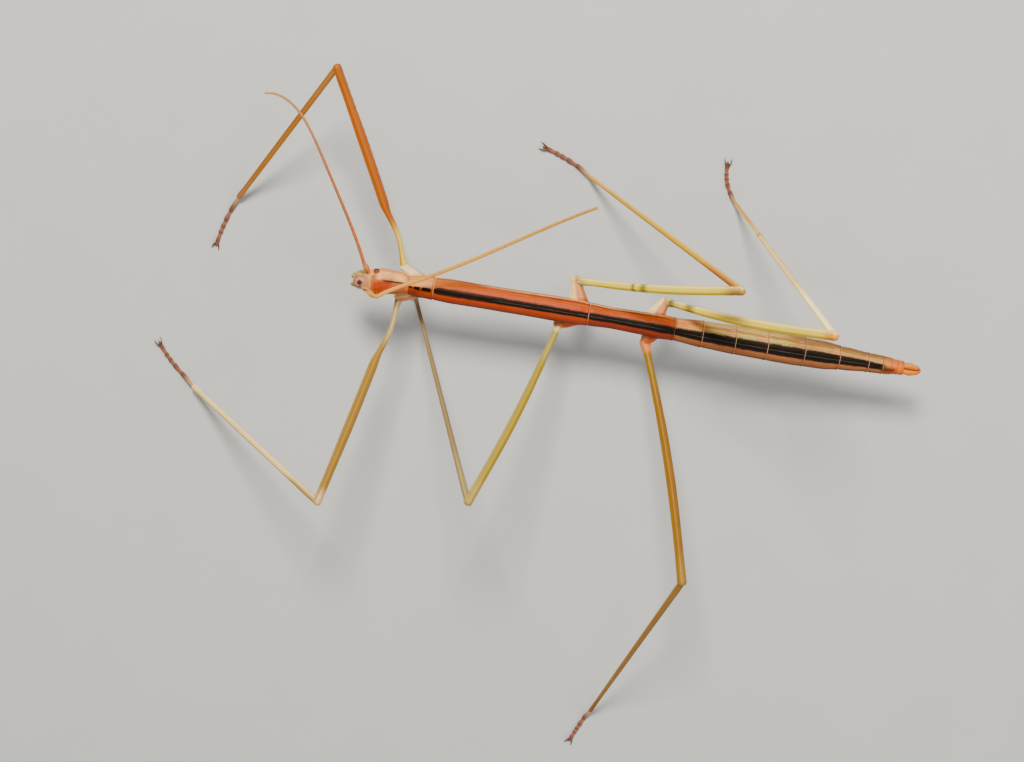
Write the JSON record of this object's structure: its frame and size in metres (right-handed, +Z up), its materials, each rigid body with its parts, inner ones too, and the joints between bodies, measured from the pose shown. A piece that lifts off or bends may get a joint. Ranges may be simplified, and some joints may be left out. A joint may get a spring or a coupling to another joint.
{
  "type": "giant stick insect model",
  "caption": "Life-size still model of a giant stick insect standing on long bent legs, with a striped rod-like body and two thread feelers.",
  "frame": {"origin": "on the floor, under the middle of the model's bounds", "axes": "+X from tail to head, +Y to the insect's left, +Z up"},
  "size_m": [0.2417, 0.2211, 0.0797],
  "materials": {
    "head_cuticle": "pinkish tan waxy cuticle with pale cream cheeks",
    "mouthparts": "olive yellow with dark spots",
    "eye": "dark brown, finely faceted, glossy",
    "thorax_cuticle": "orange bands beside a black stripe down the back, waxy",
    "abdomen_cuticle": "tan bands beside a black stripe, pale rings between segments",
    "tail_cuticle": "bright orange, waxy",
    "feeler_cuticle": "orange fading to tan, ringed by fine joints",
    "coxa_cuticle": "pale cream to orange",
    "femur_cuticle": "yellow green to orange, ridged lengthwise",
    "tibia_cuticle": "tan to olive, ridged lengthwise",
    "foot_cuticle": "red brown, velvety",
    "claw": "dark brown horn"
  },
  "bodies": {
    "root": {"head": "head_cuticle", "labrum": "mouthparts", "eye_left": "eye", "palp_left": "mouthparts", "scape_left": "feeler_cuticle", "feeler_left_1": "feeler_cuticle", "feeler_left_2": "feeler_cuticle", "cercus_left": "tail_cuticle", "eye_right": "eye", "palp_right": "mouthparts", "scape_right": "feeler_cuticle", "feeler_right_1": "feeler_cuticle", "feeler_right_2": "feeler_cuticle", "cercus_right": "tail_cuticle", "prothorax": "thorax_cuticle", "mesothorax": "thorax_cuticle", "metathorax": "thorax_cuticle", "median_segment": "abdomen_cuticle", "abdomen_2": "abdomen_cuticle", "abdomen_3": "abdomen_cuticle", "abdomen_4": "abdomen_cuticle", "abdomen_5": "abdomen_cuticle", "abdomen_6": "abdomen_cuticle", "abdomen_7": "abdomen_cuticle", "abdomen_8": "tail_cuticle", "abdomen_9": "tail_cuticle", "abdomen_10": "tail_cuticle", "operculum": "tail_cuticle", "coxa_left_front": "coxa_cuticle", "femur_left_front": "femur_cuticle", "tibia_left_front": "tibia_cuticle", "tarsus_left_front": "foot_cuticle", "claws_left_front": "claw", "coxa_right_front": "coxa_cuticle", "femur_right_front": "femur_cuticle", "tibia_right_front": "tibia_cuticle", "tarsus_right_front": "foot_cuticle", "claws_right_front": "claw", "coxa_left_mid": "coxa_cuticle", "femur_left_mid": "femur_cuticle", "tibia_left_mid": "tibia_cuticle", "tarsus_left_mid": "foot_cuticle", "claws_left_mid": "claw", "coxa_right_mid": "coxa_cuticle", "femur_right_mid": "femur_cuticle", "tibia_right_mid": "tibia_cuticle", "tarsus_right_mid": "foot_cuticle", "claws_right_mid": "claw", "coxa_left_hind": "coxa_cuticle", "femur_left_hind": "femur_cuticle", "tibia_left_hind": "tibia_cuticle", "tarsus_left_hind": "foot_cuticle", "claws_left_hind": "claw", "coxa_right_hind": "coxa_cuticle", "femur_right_hind": "femur_cuticle", "tibia_right_hind": "tibia_cuticle", "tarsus_right_hind": "foot_cuticle", "claws_right_hind": "claw"}
  },
  "joints": []
}
